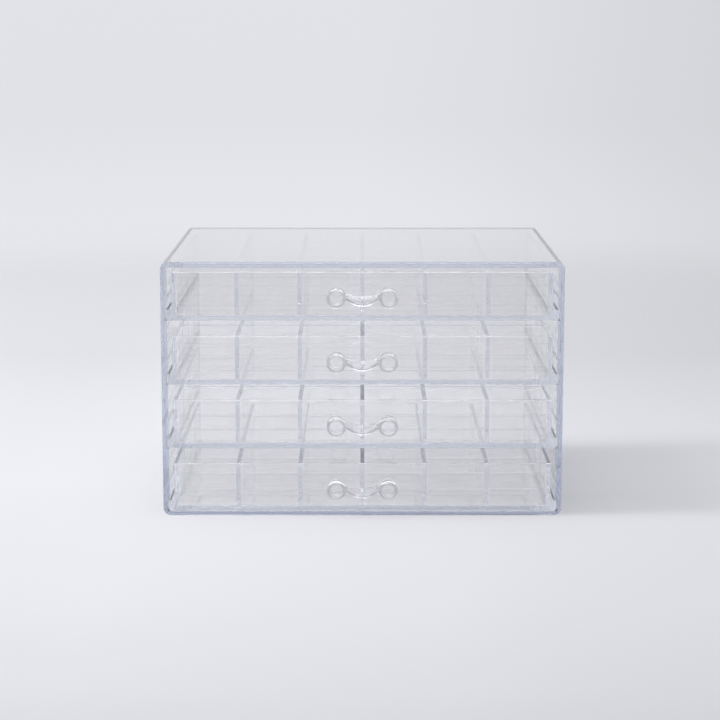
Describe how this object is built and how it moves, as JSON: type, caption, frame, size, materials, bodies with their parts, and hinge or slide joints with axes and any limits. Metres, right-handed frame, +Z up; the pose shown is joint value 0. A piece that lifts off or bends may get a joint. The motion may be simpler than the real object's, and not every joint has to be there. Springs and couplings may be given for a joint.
{
  "type": "drawer organizer",
  "caption": "Clear tabletop organizer: an open-fronted case with stacked sliding drawers, each divided into a grid of small compartments and pulled by a clear bow handle.",
  "frame": {"origin": "centre of the case's underside, where it rests on the table", "axes": "+X to the right along the width, +Y to the back, +Z up; drawers pull out along -Y"},
  "size_m": [0.24, 0.2, 0.154],
  "materials": {
    "case_acrylic": "clear, polished, faint cool tint in the thickness",
    "drawer_acrylic": "clear, polished, faint cool tint in the thickness",
    "strip_acrylic": "clear, cut and polished edges",
    "handle_acrylic": "clear, moulded, glossy"
  },
  "bodies": {
    "case": {"case_shell": "case_acrylic", "back_panel": "case_acrylic"},
    "drawer_1": {"drawer_1_tray": "drawer_acrylic", "drawer_1_handle": "handle_acrylic", "drawer_1_length_strip_1": "strip_acrylic", "drawer_1_length_strip_2": "strip_acrylic", "drawer_1_length_strip_3": "strip_acrylic", "drawer_1_length_strip_4": "strip_acrylic", "drawer_1_length_strip_5": "strip_acrylic", "drawer_1_cross_strip_1": "strip_acrylic", "drawer_1_cross_strip_2": "strip_acrylic", "drawer_1_cross_strip_3": "strip_acrylic"},
    "drawer_2": {"drawer_2_tray": "drawer_acrylic", "drawer_2_handle": "handle_acrylic", "drawer_2_length_strip_1": "strip_acrylic", "drawer_2_length_strip_2": "strip_acrylic", "drawer_2_length_strip_3": "strip_acrylic", "drawer_2_length_strip_4": "strip_acrylic", "drawer_2_length_strip_5": "strip_acrylic", "drawer_2_cross_strip_1": "strip_acrylic", "drawer_2_cross_strip_2": "strip_acrylic", "drawer_2_cross_strip_3": "strip_acrylic"},
    "drawer_3": {"drawer_3_tray": "drawer_acrylic", "drawer_3_handle": "handle_acrylic", "drawer_3_length_strip_1": "strip_acrylic", "drawer_3_length_strip_2": "strip_acrylic", "drawer_3_length_strip_3": "strip_acrylic", "drawer_3_length_strip_4": "strip_acrylic", "drawer_3_length_strip_5": "strip_acrylic", "drawer_3_cross_strip_1": "strip_acrylic", "drawer_3_cross_strip_2": "strip_acrylic", "drawer_3_cross_strip_3": "strip_acrylic"},
    "drawer_4": {"drawer_4_tray": "drawer_acrylic", "drawer_4_handle": "handle_acrylic", "drawer_4_length_strip_1": "strip_acrylic", "drawer_4_length_strip_2": "strip_acrylic", "drawer_4_length_strip_3": "strip_acrylic", "drawer_4_length_strip_4": "strip_acrylic", "drawer_4_length_strip_5": "strip_acrylic", "drawer_4_cross_strip_1": "strip_acrylic", "drawer_4_cross_strip_2": "strip_acrylic", "drawer_4_cross_strip_3": "strip_acrylic"}
  },
  "joints": [
    {"name": "drawer_1_slide", "type": "slide", "parent": "case", "child": "drawer_1", "axis": [0, -1, 0], "range_m": [0, 0.15]},
    {"name": "drawer_2_slide", "type": "slide", "parent": "case", "child": "drawer_2", "axis": [0, -1, 0], "range_m": [0, 0.15]},
    {"name": "drawer_3_slide", "type": "slide", "parent": "case", "child": "drawer_3", "axis": [0, -1, 0], "range_m": [0, 0.15]},
    {"name": "drawer_4_slide", "type": "slide", "parent": "case", "child": "drawer_4", "axis": [0, -1, 0], "range_m": [0, 0.15]}
  ]
}
